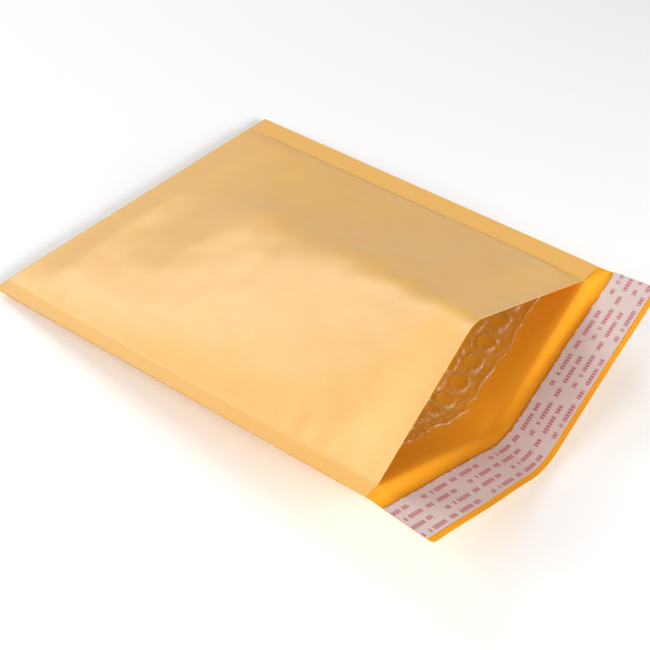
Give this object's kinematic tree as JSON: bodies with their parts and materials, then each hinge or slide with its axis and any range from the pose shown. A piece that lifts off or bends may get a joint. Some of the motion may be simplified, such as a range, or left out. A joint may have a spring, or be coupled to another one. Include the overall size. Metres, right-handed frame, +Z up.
{
  "type": "padded envelope",
  "caption": "Kraft padded envelope with a bubble-film lining, side seams and an open mouth, with an adhesive flap under a release liner.",
  "frame": {"origin": "on the table, under the middle of the envelope's footprint", "axes": "+Z up; the mouth and flap face -Y, the closed end faces +Y, and +X runs across the width to the right of the mouth seen from in front"},
  "size_m": [0.2, 0.266, 0.0803],
  "materials": {
    "kraft_paper": "satin",
    "bubble_film": "gloss",
    "adhesive": "gloss",
    "liner_paper": "satin"
  },
  "bodies": {
    "root": {"kraft_sheet": "kraft_paper", "bubble_lining": "bubble_film", "adhesive_strip": "adhesive", "release_liner": "liner_paper"}
  },
  "joints": []
}
